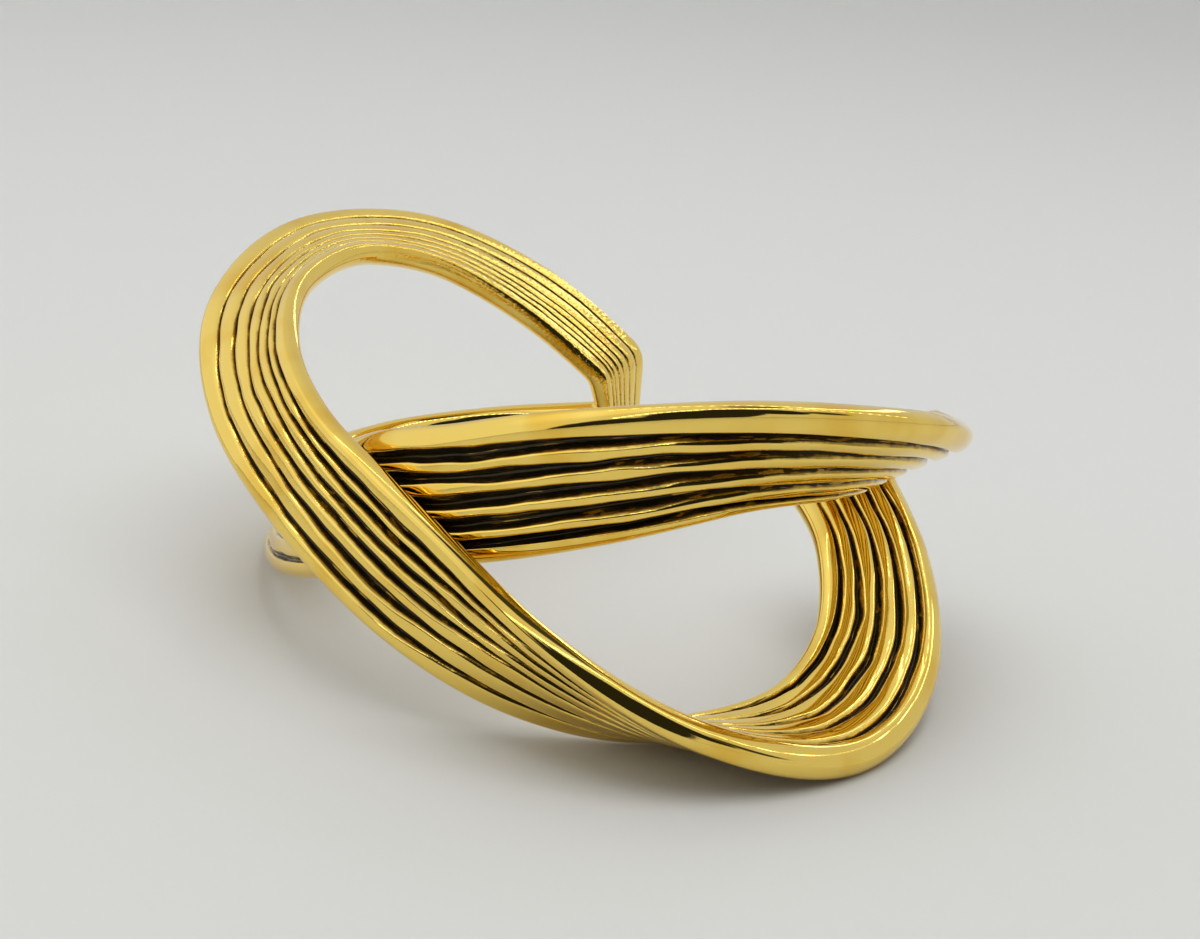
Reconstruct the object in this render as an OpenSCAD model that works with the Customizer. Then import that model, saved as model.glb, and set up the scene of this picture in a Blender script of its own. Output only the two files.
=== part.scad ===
// Twisted cuff bracelet: one flat ribbed band, closed on itself, that runs round the wrist twice.
// The outer run crosses over the inner run at the front, and each run turns over once between the
// two ends, so the band makes one open lobe on each side of the wrist. Where the runs meet, at the
// two ends of the cuff, a short upright bar joins them, and the opening lies between the two bars.
// Lengths are in millimetres. Before it is laid down, the wrist's axis is Z and the crossing faces -Y.

/* [Band] */
// width of the band from rim to rim
band_width = 12; // [10:0.5:14]
// thickness of the band beside its heavy rim
heavy_thickness = 2.8; // [2.4:0.1:3.2]
// thickness of the band beside its fine rim
fine_thickness = 2.3; // [1.8:0.1:2.8]
// how far each rounded rim stands out from the band's flat faces
rim_bulge = 1.2; // [1:0.1:1.4]
// width of the grooves
groove_width = 0.8; // [0.4:0.1:1]
// depth of the grooves
groove_depth = 0.5; // [0.2:0.1:0.7]

/* [Wrist] */
// half width of the oval that the middle of the band follows
oval_half_width = 32.5; // [30:0.5:36]
// half depth of the same oval
oval_half_depth = 27.5; // [25:0.5:30]
// how far the outer run stands out, and the inner run in, at the crossing
crossing_push = 2.1; // [1.5:0.1:3]

/* [Lying on the table] */
// turn about the X axis that lays the cuff on its rims
lean_back = 2.4; // [-30:0.1:30]
// turn about the Y axis that lays the cuff on its rims
lean_aside = -4.8; // [-30:0.1:30]

/* [Hidden] */
// Columns of the two tables: angle round the wrist from the crossing, height above the middle,
// turn of the band (0 and 180: its edge points at the wrist, 90: it lies flat round the wrist),
// and how far the band stands out from the oval. A row stands for each bend of the band.
ANGLE = 0;
HEIGHT = 1;
TURN = 2;
OUT = 3;
outer_run = [
    [-146, -3.9, 0, -3.3],
    [-125, -8.1, -18, -2.7],
    [-105, -14, -22, -1.5],
    [-85, -16.5, -14, -0.3],
    [-60, -14.4, 23, 0],
    [-35, -8.9, 68, -0.2],
    [-15, -3, 98, -0.3],
    [0, 1, 106, -0.3],
    [15, 4.1, 110, -0.2],
    [35, 8.7, 128, 0.6],
    [60, 14.4, 162, 1.4],
    [85, 17.1, 190, 1.9],
    [105, 15, 200, 1.9],
    [125, 8.5, 197, 1.6],
    [141, 1.6, 187, 0],
];
inner_run = [
    [-146, 0.8, 8, 1.4],
    [-122, 2.5, 23, 0.2],
    [-95, 6.7, 44, -0.5],
    [-70, 8.7, 64, -0.5],
    [-45, 7.1, 87, -0.4],
    [-20, 4.1, 104, -0.6],
    [0, 2, 106, 0],
    [20, -1.8, 107, 0.3],
    [45, -5.5, 112, 0.4],
    [70, -7.3, 120, 1.2],
    [95, -7.5, 131, 1.3],
    [120, -6.2, 146, 0.8],
    [141, -4.3, 160, 0],
];
// middle of each groove across the band, from the heavy rim to the fine one, on the face that shows
// on the outer run and on the face that shows on the inner run
outer_face_grooves = [4.3, 3.2, 1.9, 0.5, -1.3, -3.4];
inner_face_grooves = [3.5, 1.5, -0.5, -2.5, -4.4];
// sections of the band between two rows
steps = 5;
// points on each rounded rim
rim_points = 5;

half_width = band_width / 2;
flat_edge = half_width - rim_bulge;

function unit(v) = v / norm(v);

// the oval that the band follows, and its outward direction
function oval_radius(angle) =
    oval_half_width * oval_half_depth / norm([oval_half_depth * sin(angle), oval_half_width * cos(angle)]);
function outward(p) = unit([p[0] / pow(oval_half_width, 2), p[1] / pow(oval_half_depth, 2), 0]);

// a row as x, y, z and the turn of the band; side is 1 on the outer run and -1 on the inner one
TURNED = 3;
function row_state(row, side) =
    let (
        push = side * crossing_push * max(0, cos(row[ANGLE])),
        radius = oval_radius(row[ANGLE]) + row[OUT] + push
    )
    [-radius * sin(row[ANGLE]), -radius * cos(row[ANGLE]), row[HEIGHT], row[TURN]];

// a smooth curve through the rows: gap is the distance between rows, rate the change along it
function place(state) = [state[0], state[1], state[2]];
function gap(states, i) = norm(place(states[i + 1]) - place(states[i]));
function slope(states, i) = (states[i + 1] - states[i]) / gap(states, i);
function rate(states, i) =
    let (last = len(states) - 1)
    i == 0 ? 1.5 * slope(states, 0) - 0.5 * rate(states, 1)
    : i == last ? 1.5 * slope(states, last - 1) - 0.5 * rate(states, last - 1)
    : (slope(states, i - 1) * gap(states, i) + slope(states, i) * gap(states, i - 1))
        / (gap(states, i - 1) + gap(states, i));
function between(states, i, t) =
    let (h = gap(states, i))
    states[i] * (2 * pow(t, 3) - 3 * pow(t, 2) + 1)
    + rate(states, i) * h * (pow(t, 3) - 2 * pow(t, 2) + t)
    + states[i + 1] * (3 * pow(t, 2) - 2 * pow(t, 3))
    + rate(states, i + 1) * h * (pow(t, 3) - pow(t, 2));
function run_states(rows, side) =
    let (states = [for (row = rows) row_state(row, side)])
    [
        for (i = [0 : len(states) - 2])
            for (k = [0 : steps - 1])
                between(states, i, k / steps),
        states[len(states) - 1],
    ];
function backwards(list) = [for (i = [len(list) - 1 : -1 : 0]) list[i]];

// the whole band: along the outer run from the left end to the right one, and back along the inner run
outer_states = backwards(run_states(outer_run, 1));
inner_states = run_states(inner_run, -1);
states = concat(outer_states, inner_states);
count = len(states);

// a section: its middle, the band's width direction, and its face direction, which is stretched where
// the band folds so that its thickness stays the same; at a run's end the width follows that run alone
function section(i) =
    let (
        here = place(states[i]),
        step_in = unit(here - place(states[(i + count - 1) % count])),
        step_out = unit(place(states[(i + 1) % count]) - here),
        starts_run = i == 0 || i == len(outer_states),
        ends_run = i == len(outer_states) - 1 || i == count - 1,
        along = starts_run ? step_out : ends_run ? step_in : unit(step_in + step_out),
        heading = i < len(outer_states) ? -1 : 1,
        out = outward(here),
        flat_out = unit(out - (out * along) * along),
        aside = heading * cross(along, flat_out),
        across = cos(states[i][TURNED]) * flat_out + sin(states[i][TURNED]) * aside,
        face_in = unit(cross(step_in, across)),
        face_out = unit(cross(step_out, across))
    )
    [here, across, (face_in + face_out) / (1 + face_in * face_out)];

// outline of the band: grooves sunk in a face between flat ribs, and a rounded rim at each edge;
// its across runs from the fine rim, below 0, to the heavy rim, above 0
function half_thickness(across) =
    fine_thickness / 2 + (heavy_thickness - fine_thickness) / 2 * (across + half_width) / band_width;
function face_points(grooves, side) = [
    for (middle = grooves)
        for (part = [-1 : 1])
            let (across = middle - part * groove_width / 2)
            [across, side * (half_thickness(across) - (part == 0 ? groove_depth : 0))],
];
function rim(side) = [
    for (k = [1 : rim_points])
        let (a = 180 * k / (rim_points + 1))
        [side * (flat_edge + rim_bulge * sin(a)), -side * half_thickness(side * flat_edge) * cos(a)],
];
outline = concat(
    face_points(outer_face_grooves, 1),
    rim(-1),
    backwards(face_points(inner_face_grooves, -1)),
    rim(1)
);
sides = len(outline);

points_upright = [
    for (i = [0 : count - 1])
        let (s = section(i))
        for (p = outline)
            s[0] + p[0] * s[1] + p[1] * s[2],
];

// laid on the table: leaned onto its rims, then moved so that it stands on z = 0 in the middle
function lean_x(p) =
    let (c = cos(lean_back), s = sin(lean_back))
    [p[0], p[1] * c - p[2] * s, p[1] * s + p[2] * c];
function lean_y(p) =
    let (c = cos(lean_aside), s = sin(lean_aside))
    [p[0] * c + p[2] * s, p[1], p[2] * c - p[0] * s];
points_leaned = [for (p = points_upright) lean_y(lean_x(p))];
low = [for (axis = [0 : 2]) min([for (p = points_leaned) p[axis]])];
high = [for (axis = [0 : 2]) max([for (p = points_leaned) p[axis]])];
stand = [(low[0] + high[0]) / 2, (low[1] + high[1]) / 2, low[2]];

module cuff() {
    color("gold")
        polyhedron(
            points = [for (p = points_leaned) p - stand],
            faces = [
                for (i = [0 : count - 1])
                    for (j = [0 : sides - 1])
                        let (
                            a = i * sides + j,
                            b = i * sides + (j + 1) % sides,
                            c = ((i + 1) % count) * sides + (j + 1) % sides,
                            d = ((i + 1) % count) * sides + j
                        )
                        each [[a, c, b], [a, d, c]],
            ],
            convexity = 10
        );
}

cuff();
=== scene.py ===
"""Twisted cuff bracelet: one ribbed band of polished gold plate, closed on itself, lying on a pale floor.

The band's sizes and tables are in millimetres; everything that is handed to Blender is in metres.
"""

from collections import namedtuple
from math import cos, hypot, radians, sin

import bmesh
import bpy
from mathutils import Matrix, Vector, noise


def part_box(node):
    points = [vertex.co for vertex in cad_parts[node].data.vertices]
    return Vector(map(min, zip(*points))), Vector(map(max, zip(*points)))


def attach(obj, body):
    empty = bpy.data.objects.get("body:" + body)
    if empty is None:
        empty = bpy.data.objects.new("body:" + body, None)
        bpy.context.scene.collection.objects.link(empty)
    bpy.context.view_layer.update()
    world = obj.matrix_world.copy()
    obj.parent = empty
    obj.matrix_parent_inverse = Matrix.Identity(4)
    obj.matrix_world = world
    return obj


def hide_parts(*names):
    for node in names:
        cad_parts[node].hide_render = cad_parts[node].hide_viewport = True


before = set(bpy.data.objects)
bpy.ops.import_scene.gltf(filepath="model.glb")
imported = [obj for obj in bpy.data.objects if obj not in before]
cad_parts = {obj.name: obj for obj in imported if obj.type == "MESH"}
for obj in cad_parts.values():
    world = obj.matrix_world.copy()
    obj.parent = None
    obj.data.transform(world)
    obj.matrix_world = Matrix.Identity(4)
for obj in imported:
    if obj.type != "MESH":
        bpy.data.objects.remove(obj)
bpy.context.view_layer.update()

MILLIMETRE = 0.001

# Band, in millimetres: across it runs from the fine rim, below 0, to the heavy rim, above 0
BAND_WIDTH = 12
HALF_WIDTH = BAND_WIDTH / 2
HEAVY_THICKNESS = 2.8
FINE_THICKNESS = 2.3
RIM_BULGE = 1.2
FLAT_EDGE = HALF_WIDTH - RIM_BULGE
# Middle lines of the grooves across each face, from the heavy rim to the fine one
OUTER_FACE_GROOVES = (4.3, 3.2, 1.9, 0.5, -1.3, -3.4)
INNER_FACE_GROOVES = (3.5, 1.5, -0.5, -2.5, -4.4)
# Depth of a groove over its width
GROOVE_STEEPNESS = 0.62

# Wrist oval that the middle of the band follows, in millimetres
OVAL_HALF_WIDTH = 32.5
OVAL_HALF_DEPTH = 27.5
# How far the outer run stands out from the oval, and the inner run in, at the crossing
CROSSING_PUSH = 2.1

# How the cuff leans as it lies, in degrees
LEAN_BACK = 2.4
LEAN_ASIDE = -4.8

# Finish of the band at a bend: how dark the grooves are, patina together with painted shade, raised
# near the crossing where the runs meet, how wide the grooves are, how much lower a rib is at its sides
# than in its middle, how far the grooves drift to the heavy rim, how grainy the plate is, and where the
# heavy rim stands out most: 1 beside the outer face, -1 beside the inner one
Finish = namedtuple("Finish", "patina groove crown drift grain crest")
# The bends of the two runs, row by row the same as the solid's: angle round the wrist from the
# crossing, height, turn of the band (0 and 180: edge to the wrist, 90: flat round it) and distance
# outside the oval; then the finish
Bend = namedtuple("Bend", ("angle", "height", "turn", "out", *Finish._fields))
OUTER_RUN = (
    Bend(-146, -3.9, 0, -3.3, 0.5, 0.8, 0.2, 0, 0, 0),
    Bend(-125, -8.1, -18, -2.7, 0.6, 0.9, 0.2, 0, 0, 0),
    Bend(-105, -14, -22, -1.5, 0.7, 0.9, 0.2, 0, 0, 0),
    Bend(-85, -16.5, -14, -0.3, 0.6, 0.8, 0.2, 0, 0, 0),
    Bend(-60, -14.4, 23, 0, 0.6, 0.6, 0.15, 0.4, 0, 0),
    Bend(-35, -8.9, 68, -0.2, 0.8, 0.6, 0.1, 0.4, 0, 0),
    Bend(-15, -3, 98, -0.3, 1, 1.2, 0.14, -0.7, 0, 0),
    Bend(0, 1, 106, -0.3, 0.95, 1.1, 0.14, -0.5, 0, 0),
    Bend(15, 4.1, 110, -0.2, 0.8, 0.8, 0.14, -0.1, 0, 0),
    Bend(35, 8.7, 128, 0.6, 0.65, 0.65, 0.2, 0, 0.05, 0),
    Bend(60, 14.4, 162, 1.4, 0.6, 0.65, 0.26, 0.5, 0.1, 0),
    Bend(85, 17.1, 190, 1.9, 0.35, 0.5, 0.26, 0.4, 0.5, 0),
    Bend(105, 15, 200, 1.9, 0.05, 0.4, 0.22, 0.2, 0.9, 0),
    Bend(125, 8.5, 197, 1.6, 0, 0.4, 0.2, 0, 1, 0),
    Bend(141, 1.6, 187, 0, 0, 0.5, 0.25, 0, 0.8, 0),
)
INNER_RUN = (
    Bend(-146, 0.8, 8, 1.4, 0.1, 0.5, 0.15, 0, 0, 0),
    Bend(-122, 2.5, 23, 0.2, 0.3, 0.8, 0.12, 0, 0, -0.25),
    Bend(-95, 6.7, 44, -0.5, 1, 1, 0.1, 0, 0, -0.5),
    Bend(-70, 8.7, 64, -0.5, 1, 1.3, 0.1, 0, 0, -0.55),
    Bend(-45, 7.1, 87, -0.4, 1, 1.4, 0.1, 0, 0, -0.5),
    # At the crossing the patina column is raised past 1 to paint the shade where the two runs meet
    Bend(-20, 4.1, 104, -0.6, 1.4, 1.45, 0.18, -0.2, 0, -0.25),
    Bend(0, 2, 106, 0, 1.4, 1.4, 0.18, 0, 0, 0),
    Bend(20, -1.8, 107, 0.3, 0.8, 0.9, 0.1, 0, 0, 0),
    Bend(45, -5.5, 112, 0.4, 0.6, 0.8, 0.1, 0, 0, 0),
    Bend(70, -7.3, 120, 1.2, 0.5, 0.8, 0.1, 0, 0, 0),
    Bend(95, -7.5, 131, 1.3, 0.5, 0.7, 0.1, 0, 0, 0),
    Bend(120, -6.2, 146, 0.8, 0.5, 0.7, 0.1, 0, 0, 0),
    Bend(141, -4.3, 160, 0, 0.4, 0.7, 0.1, 0, 0.2, 0),
)
# The outline is laid at stations about this far apart, in millimetres, and points closer than the
# weld distance are one
STATION_GAP = 0.65
WELD_DISTANCE = 0.001
# How far a rounded corner reaches from the fold, on the run and at most on the bar, in millimetres
CORNER_REACH = 1.3
CORNER_STEPS = 6
# Most of a bar's length that the corner at one of its ends takes up
CORNER_BAR_SHARE = 0.4
# Stations that a rounded corner takes up on its run
CORNER_SKIP = round(CORNER_REACH / STATION_GAP)

# Waves that hand finishing left, in millimetres: long and short ones in the grooves, a change of the
# grooves' width as a share of it, and hollows in the ribs
LONG_WAVE = 7
SHORT_WAVE = 2.8
GROOVE_WANDER = 0.19
GROOVE_KINK = 0.12
WIDTH_CHANGE = 0.4
HOLLOW = 0.07
# Every wave has a key and reads the noise at a place of its own, moved by these steps times its key
WAVE_STEPS = (3.7, 11.3, 1.9)
# A groove's key is its number, with this added on the inner face, and its width and the hollows
# beside it have the groove's key with these added
INNER_FACE_KEY = 20
WIDTH_KEY = 50
HOLLOW_KEY = 90

# Places over half a rim, from beside the face, 1, to the rim's middle, 0
RIM_SHARES = (0.998, 0.985, 0.95, 0.9, 0.83, 0.74, 0.63, 0.5, 0.34, 0.17, 0)
# A rim is a shallow arc with rounded corners: how far the arc falls off to its corners, as a share of
# the rim's bulge, and how sharp a corner is, 2 for an ellipse's. The heavy rim's corner beside the
# inner face is the softest and begins nearer to the grooves
RIM_ARC = 0.3
SHARP_CORNER = 6
FINE_CORNER = 3
SOFT_CORNER = 2
SOFT_EDGE = 4.3
# Places from a groove's middle, 0, to its edge, 1, and from there to the middle of the rib, 2
GROOVE_SHARES = (0, 0.3, 0.6, 0.85, 1, 1.3, 1.6)
# Most of the way to the rib's middle that half a groove may take up
GROOVE_LIMIT = 0.8
# How far the rib beside the fine rim reaches from its groove, in millimetres, at most
LAST_RIB = 1.4

# Camera, from the cuff before it leans: degrees and millimetres
CAMERA_AZIMUTH = 45
CAMERA_ELEVATION = 18
CAMERA_DISTANCE = 180
CAMERA_TARGET = Vector((1.7, 0, -0.8))
PHOTO_WIDTH = 1200
FOCAL_PIXELS = 1860
SENSOR_WIDTH = 36


# The path of the band

def bend_state(bend, side):
    """A bend as x, y, z, turn and finish; side is 1 on the outer run and -1 on the inner one."""
    angle = radians(bend.angle)
    deep, wide = OVAL_HALF_DEPTH * sin(angle), OVAL_HALF_WIDTH * cos(angle)
    oval = OVAL_HALF_WIDTH * OVAL_HALF_DEPTH / hypot(deep, wide)
    radius = oval + bend.out + side * CROSSING_PUSH * max(0, cos(angle))
    finish = bend[-len(Finish._fields):]
    return Vector((-radius * sin(angle), -radius * cos(angle), bend.height, bend.turn, *finish))


def place_of(state):
    return Vector(state[:3])


def turn_of(state):
    return radians(state[3])


def finish_of(state):
    return Finish(*state[4:])


def run_states(run, side):
    """Closely spaced states on the smooth curve through a run's bends."""
    states = [bend_state(bend, side) for bend in run]
    gaps = [(place_of(b) - place_of(a)).length for a, b in zip(states, states[1:])]
    slopes = [(b - a) / gap for a, b, gap in zip(states, states[1:], gaps)]
    inner = [
        (before * gap_after + after * gap_before) / (gap_before + gap_after)
        for before, after, gap_before, gap_after in zip(slopes, slopes[1:], gaps, gaps[1:])
    ]
    first = 1.5 * slopes[0] - 0.5 * inner[0]
    last = 1.5 * slopes[-1] - 0.5 * inner[-1]
    rates = [first, *inner, last]
    fine = []
    for i, gap in enumerate(gaps):
        steps = round(gap / STATION_GAP)
        for k in range(steps):
            t = k / steps
            fine.append(
                states[i] * (2 * t**3 - 3 * t**2 + 1)
                + rates[i] * gap * (t**3 - 2 * t**2 + t)
                + states[i + 1] * (3 * t**2 - 2 * t**3)
                + rates[i + 1] * gap * (t**3 - t**2)
            )
    return [*fine, states[-1]]


def station(before, here, after, heading, runs_in, runs_out):
    """The matrix that lays an outline's (across, face) point in the cuff's upright frame."""
    step_in = (place_of(here) - place_of(before)).normalized()
    step_out = (place_of(after) - place_of(here)).normalized()
    along = ((step_in if runs_in else Vector()) + (step_out if runs_out else Vector())).normalized()
    out = Vector((here[0] / OVAL_HALF_WIDTH**2, here[1] / OVAL_HALF_DEPTH**2, 0)).normalized()
    flat_out = (out - out.dot(along) * along).normalized()
    aside = heading * along.cross(flat_out)
    across = cos(turn_of(here)) * flat_out + sin(turn_of(here)) * aside
    face_in = step_in.cross(across).normalized()
    face_out = step_out.cross(across).normalized()
    face = (face_in + face_out) / (1 + face_in.dot(face_out))
    return Matrix.Translation(place_of(here)) @ Matrix((across, face, along)).transposed().to_4x4()


def blend(first, second, share):
    return first * (1 - share) + second * share


def rounded_corner(before, corner, after):
    """Stations on an arc that cuts off a folded corner between the stations before and after it."""
    shares = [k / CORNER_STEPS for k in range(CORNER_STEPS + 1)]
    return [blend(blend(before, corner, t), blend(corner, after, t), t) for t in shares]


def distance(a, b):
    return (a.translation - b.translation).length


def band_stations():
    """Stations round the whole band with their finish: outer run, bar, inner run back, bar."""
    outer = run_states(OUTER_RUN, 1)[::-1]
    inner = run_states(INNER_RUN, -1)
    loop = outer + inner
    last_outer = len(outer) - 1
    places = []
    for i, here in enumerate(loop):
        after = loop[(i + 1) % len(loop)]
        heading = -1 if i <= last_outer else 1
        runs_in = i not in (0, last_outer + 1)
        runs_out = i not in (last_outer, len(loop) - 1)
        places.append(station(loop[i - 1], here, after, heading, runs_in, runs_out))
    finishes = [finish_of(state) for state in loop]

    def run_with_corners(first, last):
        """One run from first to last, with the near half of the bar at each end."""
        made = []
        for i in range(first, last + 1):
            place = places[i]
            if i in (first, last):
                step = 1 if i == first else -1
                bar_end = places[i - step] if i - step < len(loop) else places[0]
                bar_share = min(CORNER_BAR_SHARE, CORNER_REACH / distance(place, bar_end))
                run_side = places[i + step * CORNER_SKIP]
                corner = rounded_corner(blend(place, bar_end, bar_share), place, run_side)
                made += [(p, finishes[i]) for p in (corner if step == 1 else corner[::-1])]
            elif first + CORNER_SKIP < i < last - CORNER_SKIP:
                made.append((place, finishes[i]))
        return made

    return run_with_corners(0, last_outer) + run_with_corners(last_outer + 1, len(loop) - 1)


# The outline of the band

def wave(centre, length, key):
    """A number from -1 to 1 that drifts round the cuff; key tells the waves apart."""
    return noise.noise(centre / length + Vector([key * step for step in WAVE_STEPS]))


def half_thickness(across):
    thickening = (HEAVY_THICKNESS - FINE_THICKNESS) / 2 * (across + HALF_WIDTH) / BAND_WIDTH
    return FINE_THICKNESS / 2 + thickening


def heavy_edge(side):
    """Where the heavy rim begins on the outer face, side 1, or the inner one, side -1."""
    return FLAT_EDGE if side > 0 else SOFT_EDGE


def face_outline(grooves, side, finish, centre):
    """Points (across, face, groove) from the heavy rim to the fine one; groove is 1 on a groove's floor."""
    first_key = INNER_FACE_KEY if side < 0 else 0
    middles = []
    for key, middle in enumerate(grooves, first_key):
        wander = GROOVE_WANDER * wave(centre, LONG_WAVE, key) + GROOVE_KINK * wave(centre, SHORT_WAVE, key)
        middles.append(middle + finish.drift * (1 - abs(middle) / HALF_WIDTH) ** 0.5 + wander)
    points = []
    for row, middle in enumerate(middles):
        key = first_key + row
        half_groove = finish.groove / 2 * (1 + WIDTH_CHANGE * wave(centre, LONG_WAVE, key + WIDTH_KEY))
        is_last = row == len(middles) - 1
        tops = (
            (middles[row - 1] + middle) / 2 if row > 0 else heavy_edge(side),
            max(-FLAT_EDGE, middle - LAST_RIB) if is_last else (middle + middles[row + 1]) / 2,
        )
        for way, top in zip((1, -1), tops):
            half_rib = abs(top - middle)
            edge = min(half_groove, GROOVE_LIMIT * half_rib)
            hollow_key = key + HOLLOW_KEY + (0 if way == 1 else 1)
            for share in GROOVE_SHARES[::-1] if way == 1 else GROOVE_SHARES[1:]:
                off = edge * share if share < 1 else edge + (half_rib - edge) * (share - 1)
                across = middle + way * off
                low = 1 - off / half_rib
                sink = (1 - min(share, 1) ** 2) ** 2
                face = (
                    half_thickness(across)
                    - finish.crown * low**2
                    - 2 * half_groove * GROOVE_STEEPNESS * sink
                    + HOLLOW * wave(centre, SHORT_WAVE, hollow_key) * low
                )
                points.append((across, side * face, sink))
    return points if side > 0 else points[::-1]


def rim_outline(rim, crest):
    """Points round the heavy rim, 1, from inner face to outer one, or round the fine rim, -1, back."""
    points = []
    for share in (*RIM_SHARES, *(-share for share in RIM_SHARES[-2::-1])):
        if rim < 0:
            edge, corner = FLAT_EDGE, FINE_CORNER
        elif share > 0:
            edge, corner = heavy_edge(-1), SOFT_CORNER
        else:
            edge, corner = heavy_edge(1), SHARP_CORNER
        arc = 1 - RIM_ARC * (share**2 + 2 * share * crest)
        out = (1 - abs(share) ** corner) ** (1 / corner) * arc
        across = rim * (edge + (HALF_WIDTH - edge) * out)
        points.append((across, -rim * half_thickness(rim * edge) * share, 0))
    return points


def outline(centre, finish):
    """Points (across, face, groove) round the band, the same number for every centre and finish."""
    return (
        face_outline(OUTER_FACE_GROOVES, 1, finish, centre)
        + rim_outline(-1, 0)
        + face_outline(INNER_FACE_GROOVES, -1, finish, centre)
        + rim_outline(1, finish.crest)
    )


# The cuff

def lay_down(place):
    """A place in the upright frame as the cuff lies, before it is moved over the floor."""
    aside = Matrix.Rotation(radians(LEAN_ASIDE), 4, "Y")
    back = Matrix.Rotation(radians(LEAN_BACK), 4, "X")
    return aside @ back @ place


def make_cuff():
    """The band, extruded from its first outline through every station and welded back to the first."""
    mesh = bmesh.new()
    number = mesh.verts.layers.int.new("number")
    groove = mesh.verts.layers.float.new("groove")
    # Groove darkness per vertex: patina together with painted shade near the crossing
    patina = mesh.verts.layers.float.new("patina")
    grain = mesh.verts.layers.float.new("grain")
    along = mesh.verts.layers.float.new("along")
    aside = mesh.verts.layers.float.new("aside")

    def lay(verts, place, finish, travelled):
        points = outline(place.translation, finish)
        for vert in verts:
            across, face, depth = points[vert[number]]
            vert.co = place @ Vector((across, face, 0))
            vert[groove] = depth
            vert[patina] = finish.patina
            vert[grain] = finish.grain
            vert[along] = travelled
            vert[aside] = across

    stations = band_stations()
    ring = [mesh.verts.new() for _ in outline(Vector(), stations[0][1])]
    for i, vert in enumerate(ring):
        vert[number] = i
    lay(ring, *stations[0], 0)
    edges = [mesh.edges.new((ring[i - 1], vert)) for i, vert in enumerate(ring)]
    travelled = 0
    for (before, _), (place, finish) in zip(stations, [*stations[1:], stations[0]]):
        travelled += distance(before, place)
        grown = bmesh.ops.extrude_edge_only(mesh, edges=edges)["geom"]
        lay([part for part in grown if isinstance(part, bmesh.types.BMVert)], place, finish, travelled)
        edges = [part for part in grown if isinstance(part, bmesh.types.BMEdge) and part.is_boundary]
    bmesh.ops.remove_doubles(mesh, verts=mesh.verts, dist=WELD_DISTANCE)
    bmesh.ops.recalc_face_normals(mesh, faces=mesh.faces)
    bmesh.ops.transform(mesh, matrix=Matrix.Scale(MILLIMETRE, 4) @ lay_down(Matrix()), verts=mesh.verts)
    return mesh


def settle(mesh):
    """Moves the laid cuff onto the solid's place, and returns the move."""
    low = Vector([min(vert.co[axis] for vert in mesh.verts) for axis in range(3)])
    high = Vector([max(vert.co[axis] for vert in mesh.verts) for axis in range(3)])
    solid_low, solid_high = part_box("cuff")
    move = (Vector(solid_low) + Vector(solid_high) - low - high) / 2
    move.z = solid_low[2] - low.z
    bmesh.ops.translate(mesh, vec=move, verts=mesh.verts)
    return move


cuff_mesh = make_cuff()
settled = settle(cuff_mesh)
cuff_data = bpy.data.meshes.new("ribbed_band")
cuff_mesh.to_mesh(cuff_data)
cuff_mesh.free()
cuff_data.shade_smooth()
ribbed_band = bpy.data.objects.new("ribbed_band", cuff_data)
bpy.context.collection.objects.link(ribbed_band)
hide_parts("cuff")
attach(ribbed_band, "root")


# Materials

class Wire:
    """A node's output; an operation written on it adds the Math node that does it."""

    def __init__(self, tree, socket):
        self.tree = tree
        self.socket = socket

    def math(self, operation, *values):
        return node(self.tree, "ShaderNodeMath", {"operation": operation}, dict(enumerate(values)))

    def __add__(self, other):
        return self.math("ADD", self, other)

    def __sub__(self, other):
        return self.math("SUBTRACT", self, other)

    def __rsub__(self, other):
        return self.math("SUBTRACT", other, self)

    def __mul__(self, other):
        return self.math("MULTIPLY", self, other)

    __radd__ = __add__
    __rmul__ = __mul__


def node(tree, kind, settings, inputs, output=0):
    """Adds a node with its settings, joins or sets its inputs, and returns one output, if it has any."""
    made = tree.nodes.new(kind)
    for name, value in settings.items():
        setattr(made, name, value)
    for name, value in inputs.items():
        if isinstance(value, Wire):
            tree.links.new(value.socket, made.inputs[name])
        else:
            made.inputs[name].default_value = value
    return Wire(tree, made.outputs[output]) if made.outputs else None


def smooth_step(value, low, high):
    return node(value.tree, "ShaderNodeMapRange", {"interpolation_type": "SMOOTHSTEP"},
                {"Value": value, "From Min": low, "From Max": high})


def mixed(factor, first, second):
    """A colour between first and second."""
    return node(factor.tree, "ShaderNodeMix", {"data_type": "RGBA"},
                {0: factor, 6: first, 7: second}, output=2)


POLISHED_GOLD = (0.94, 0.675, 0.155, 1)
DEEP_GOLD = (0.87, 0.56, 0.09, 1)
# Groove fill: patina together with painted shade of the grooves
DARK_PATINA_AND_SHADE = (0.013, 0.009, 0.003, 1)
WORN_PATINA_AND_SHADE = (0.06, 0.045, 0.02, 1)
# Brown painted shade where the ribs turn down into the grooves
BROWN_PAINTED_SHADE = (0.2, 0.11, 0.02, 1)

# Sizes of the noise patterns in the plate, in patterns to the metre
DRIFT_SCALE = 160
WEAR_SCALE = 420
RAGGED_SCALE = 1100
GRAIN_SCALE = 2600
# Streaks along the band, which make the patina's edge ragged and paint glints into the grooves, in
# streaks to the millimetre along the band and across it
STREAKS_ALONG = 0.25
STREAKS_ACROSS = 3.5

# The patina, with painted shade, fills a groove up to an edge. How much that edge wanders with each
# pattern, and how much further a groove of full darkness is filled with painted shade
RAGGED_EDGE = 0.5
STREAKED_EDGE = 0.7
DRIFTING_EDGE = 0.3
DARKNESS_FILL = 0.42
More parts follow.
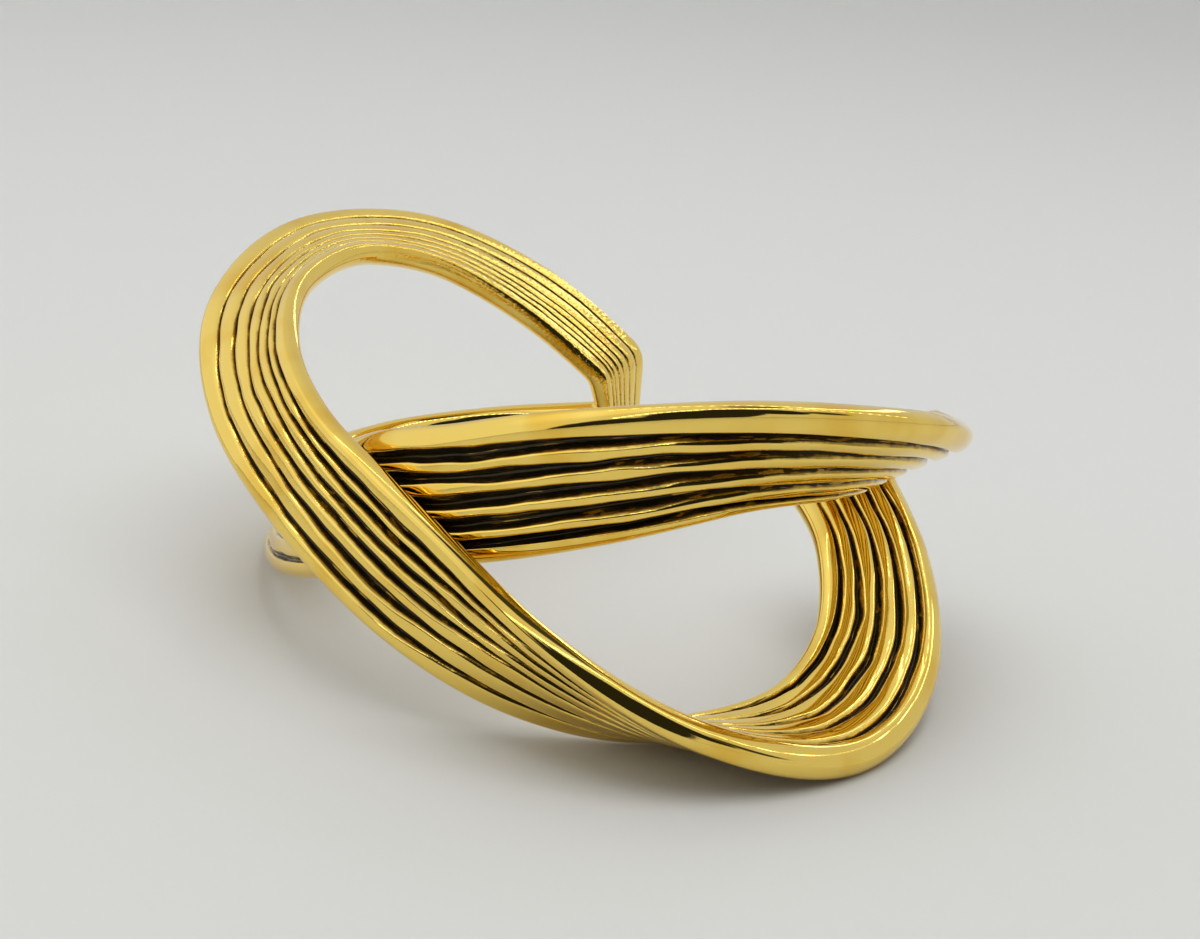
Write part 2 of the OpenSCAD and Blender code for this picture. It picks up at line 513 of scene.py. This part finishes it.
# Between these values of a pattern or of the edge, one finish turns into the other: ribs into grooves,
# patina into rubbed spots, patina into streaks of bare gold that are painted glints, gold into dark
# patina with painted shade, gold into its brown painted shade, and polished gold into deeper gold
NEAR_GROOVE = (0, 0.15)
WORN_SPOTS = (0.60, 0.68)
PAINTED_GLINT_STREAKS = (0.56, 0.64)
STAIN_AND_SHADE_BORDER = (0.74, 0.90)
SHADE_BORDER = (0.30, 0.75)
DEEP_PATCHES = (0.45, 0.75)
# How much patina a rubbed spot and a streak of painted glint take away, how much of the spots a groove
# of full darkness hides, and how brown the painted shade at the groove edges is
SPOT_WEAR = 0.5
PAINTED_GLINT_STRENGTH = 0.95
SPOTS_HIDDEN = 0.5
SHADE_BROWNNESS = 0.8

# Roughness of the plate, what its patches, the brown painted shade and the patina with its painted
# shade add to it, and how much less metallic the patina is
PLATE_ROUGHNESS = 0.045
PATCH_ROUGHNESS = 0.03
BORDER_ROUGHNESS = 0.08
PATINA_ROUGHNESS = 0.1
PATINA_DULLNESS = 0.25
# Bump: grain of smooth plate and what full graininess adds to it, wear, and the ragged border of the
# brown painted shade
SMOOTH_GRAIN = 0.1
COARSE_GRAIN = 2.5
WEAR_RELIEF = 0.15
BORDER_RELIEF = 0.9
BUMP_STRENGTH = 0.10
BUMP_DISTANCE = 0.0002


def gold_plate():
    """Polished plate with dark patina and painted shade in the grooves, rubbed off in spots, broken by
    streaks of bare gold painted as glints, and brown painted shade at the groove edges.
    """
    material = bpy.data.materials.new("polished_gold_plate")
    material.use_nodes = True
    tree = material.node_tree
    tree.nodes.clear()
    # darkness is patina together with painted shade, highest near the crossing
    groove, darkness, grainy, along, aside = (
        node(tree, "ShaderNodeAttribute", {"attribute_name": name}, {}, output="Fac")
        for name in ("groove", "patina", "grain", "along", "aside")
    )
    brushed = node(tree, "ShaderNodeCombineXYZ", {},
                   {"X": along * STREAKS_ALONG, "Y": aside * STREAKS_ACROSS})
    places = node(tree, "ShaderNodeTexCoord", {}, {}, output="Object")

    def pattern(vector, scale, detail):
        return node(tree, "ShaderNodeTexNoise", {}, {"Vector": vector, "Scale": scale, "Detail": detail})

    streaks = pattern(brushed, 1, 3)
    ragged = pattern(places, RAGGED_SCALE, 4)
    drift = pattern(places, DRIFT_SCALE, 2)
    grain = pattern(places, GRAIN_SCALE, 2)
    wear = pattern(places, WEAR_SCALE, 3)

    near = smooth_step(groove, *NEAR_GROOVE)
    edge = groove + near * (
        RAGGED_EDGE * (ragged - 0.5) + STREAKED_EDGE * (streaks - 0.5) + DRIFTING_EDGE * (drift - 0.5)
    )
    spots = SPOT_WEAR * smooth_step(wear, *WORN_SPOTS) * (1 - SPOTS_HIDDEN * darkness)
    # Streaks of bare gold in the groove fill are painted glints; the spots are wear
    wear_and_painted_glints = spots + PAINTED_GLINT_STRENGTH * smooth_step(streaks, *PAINTED_GLINT_STREAKS)
    # The groove fill: patina together with painted shade of the grooves
    stain_and_shade = smooth_step(edge + near * (DARKNESS_FILL * darkness - wear_and_painted_glints), *STAIN_AND_SHADE_BORDER)
    # Brown painted shade along the groove edges
    shade = smooth_step(edge + near * DARKNESS_FILL * darkness, *SHADE_BORDER)
    gold = mixed(smooth_step(drift, *DEEP_PATCHES), POLISHED_GOLD, DEEP_GOLD)
    shaded_gold = mixed(shade * SHADE_BROWNNESS, gold, BROWN_PAINTED_SHADE)
    patina = mixed(ragged, DARK_PATINA_AND_SHADE, WORN_PATINA_AND_SHADE)
    smooth_part = PLATE_ROUGHNESS + PATCH_ROUGHNESS * drift
    roughness = smooth_part + BORDER_ROUGHNESS * shade + PATINA_ROUGHNESS * stain_and_shade
    relief = WEAR_RELIEF * wear + BORDER_RELIEF * ragged * shade
    height = (SMOOTH_GRAIN + COARSE_GRAIN * grainy) * grain + relief
    bump = node(tree, "ShaderNodeBump", {},
                {"Height": height, "Strength": BUMP_STRENGTH, "Distance": BUMP_DISTANCE}, output="Normal")
    shader = node(tree, "ShaderNodeBsdfPrincipled", {}, {
        "Base Color": mixed(stain_and_shade, shaded_gold, patina),
        "Metallic": 1 - PATINA_DULLNESS * stain_and_shade,
        "Roughness": roughness,
        "Normal": bump,
    }, output="BSDF")
    node(tree, "ShaderNodeOutputMaterial", {}, {"Surface": shader})
    return material


ribbed_band.data.materials.append(gold_plate())


# Floor, light and camera

FLOOR_SIZE = 14
FLOOR_COLOUR = (0.6, 0.6, 0.585, 1)
FLOOR_ROUGHNESS = 0.7


def pale_floor():
    material = bpy.data.materials.new("pale_floor")
    material.use_nodes = True
    surface = material.node_tree.nodes["Principled BSDF"]
    surface.inputs["Base Color"].default_value = FLOOR_COLOUR
    surface.inputs["Roughness"].default_value = FLOOR_ROUGHNESS
    return material


floor_mesh = bmesh.new()
bmesh.ops.create_grid(floor_mesh, x_segments=1, y_segments=1, size=FLOOR_SIZE / 2)
floor_data = bpy.data.meshes.new("floor")
floor_mesh.to_mesh(floor_data)
floor_mesh.free()
floor_data.materials.append(pale_floor())
floor = bpy.data.objects.new("floor", floor_data)
bpy.context.collection.objects.link(floor)


# The lamp over the cuff, in metres and watts: a square that shines straight down and doesn't show in
# the gold
CEILING_HEIGHT = 0.6
CEILING_SIZE = 0.5
CEILING_POWER = 1.8


def ceiling_light():
    lamp = bpy.data.lights.new("ceiling_light", "AREA")
    lamp.shape = "SQUARE"
    lamp.size = CEILING_SIZE
    lamp.energy = CEILING_POWER
    light = bpy.data.objects.new("ceiling_light", lamp)
    light.location = (0, 0, CEILING_HEIGHT)
    light.visible_glossy = False
    bpy.context.collection.objects.link(light)


ceiling_light()


def direction(azimuth, elevation):
    """A direction: azimuth in degrees from the crossing's side, elevation in degrees from level."""
    a, e = radians(azimuth), radians(elevation)
    return Vector((sin(a) * cos(e), -cos(a) * cos(e), sin(e)))


def dot(wire, vector):
    return node(wire.tree, "ShaderNodeVectorMath", {"operation": "DOT_PRODUCT"},
                {0: wire, 1: vector}, output="Value")


ROOM_TINT = (0.99, 1, 0.99, 1)
ROOM_BRIGHTNESS = 0.65
# Soft zones of the room, painted over one another: direction of the middle in degrees, reach in
# degrees, share of the reach that is soft, and brightness
Zone = namedtuple("Zone", "azimuth elevation reach softness brightness")
ZONES = (
    Zone(0, 90, 60, 0.8, 0.78),
    Zone(-50, 20, 65, 0.6, 0.88),
    Zone(-35, 48, 32, 0.7, 1.06),
    Zone(172, 56, 17, 0.6, 0.85),
    Zone(140, 78, 14, 0.3, 0.05),
    Zone(12, -8, 27, 0.15, 0.02),
    Zone(47, 20, 29, 0.15, 0.02),
    Zone(58, 42, 17, 0.15, 0.02),
    Zone(80, 37, 17, 0.2, 0.02),
    Zone(84, 28, 15, 0.2, 0.02),
    Zone(110, 31, 12, 0.4, 0.05),
)
# Rows of small oval lamps: directions of the first and last lamp, number of gaps between lamps
LampRow = namedtuple("LampRow", "first last gaps")
LAMP_ROWS = (
    LampRow((8, 21), (165, 27), 38),
    LampRow((-155, 14), (165, 58), 16),
    LampRow((-60, 60), (-178, 52), 16),
)
LAMP_BRIGHTNESS = 5
# Half the length and half the width of a lamp, as angles in radians
LAMP_LENGTH = 0.016
LAMP_WIDTH = 0.028
# Share of a lamp that is fully bright
LAMP_CORE = 0.7


def lamp_mask(way, row):
    """1 where the direction meets a lamp of the row, 0 elsewhere."""
    first, last = direction(*row.first), direction(*row.last)
    normal = first.cross(last).normalized()
    spacing = first.angle(last) / row.gaps
    place = way.math("ARCTAN2", dot(way, normal.cross(first)), dot(way, first)) * (1 / spacing)
    off_lamp = (place.math("FRACT", place + 0.5) - 0.5) * (spacing / LAMP_LENGTH)
    off_row = dot(way, normal) * (1 / LAMP_WIDTH)
    off = way.math("SQRT", off_lamp * off_lamp + off_row * off_row)
    inside = place.math("GREATER_THAN", place, -0.5) * place.math("LESS_THAN", place, row.gaps + 0.5)
    return (1 - smooth_step(off, LAMP_CORE, 1)) * inside


def pale_room():
    """The room that the gold mirrors: a pale sky with soft light and dark zones and rows of lamps."""
    world = bpy.data.worlds.new("pale_room")
    world.use_nodes = True
    tree = world.node_tree
    tree.nodes.clear()
    way = node(tree, "ShaderNodeTexCoord", {}, {}, output="Generated")
    light = ROOM_BRIGHTNESS
    for zone in ZONES:
        near = dot(way, direction(zone.azimuth, zone.elevation))
        outer_edge = cos(radians(zone.reach))
        inner_edge = cos(radians(zone.reach * (1 - zone.softness)))
        light = light + smooth_step(near, outer_edge, inner_edge) * (zone.brightness - light)
    for row in LAMP_ROWS:
        light = light + LAMP_BRIGHTNESS * lamp_mask(way, row)
    background = node(tree, "ShaderNodeBackground", {}, {"Color": ROOM_TINT, "Strength": light})
    node(tree, "ShaderNodeOutputWorld", {}, {"Surface": background})
    return world


bpy.context.scene.world = pale_room()


def place_camera():
    """The camera stands where the photograph was taken, found from the cuff before it leans."""
    back = direction(CAMERA_AZIMUTH, CAMERA_ELEVATION)
    right = direction(CAMERA_AZIMUTH + 90, 0)
    turned = Matrix((right, back.cross(right), back)).transposed().to_4x4()
    laid = lay_down(Matrix.Translation(CAMERA_TARGET + CAMERA_DISTANCE * back) @ turned)
    camera_data = bpy.data.cameras.new("camera")
    camera_data.sensor_width = SENSOR_WIDTH
    camera_data.lens = FOCAL_PIXELS / PHOTO_WIDTH * SENSOR_WIDTH
    camera_data.clip_start = 0.01
    camera = bpy.data.objects.new("camera", camera_data)
    camera.rotation_mode = "QUATERNION"
    camera.rotation_quaternion = laid.to_quaternion()
    camera.location = laid.translation * MILLIMETRE + settled
    bpy.context.collection.objects.link(camera)
    bpy.context.scene.camera = camera


place_camera()
bpy.context.scene.view_settings.view_transform = "Standard"
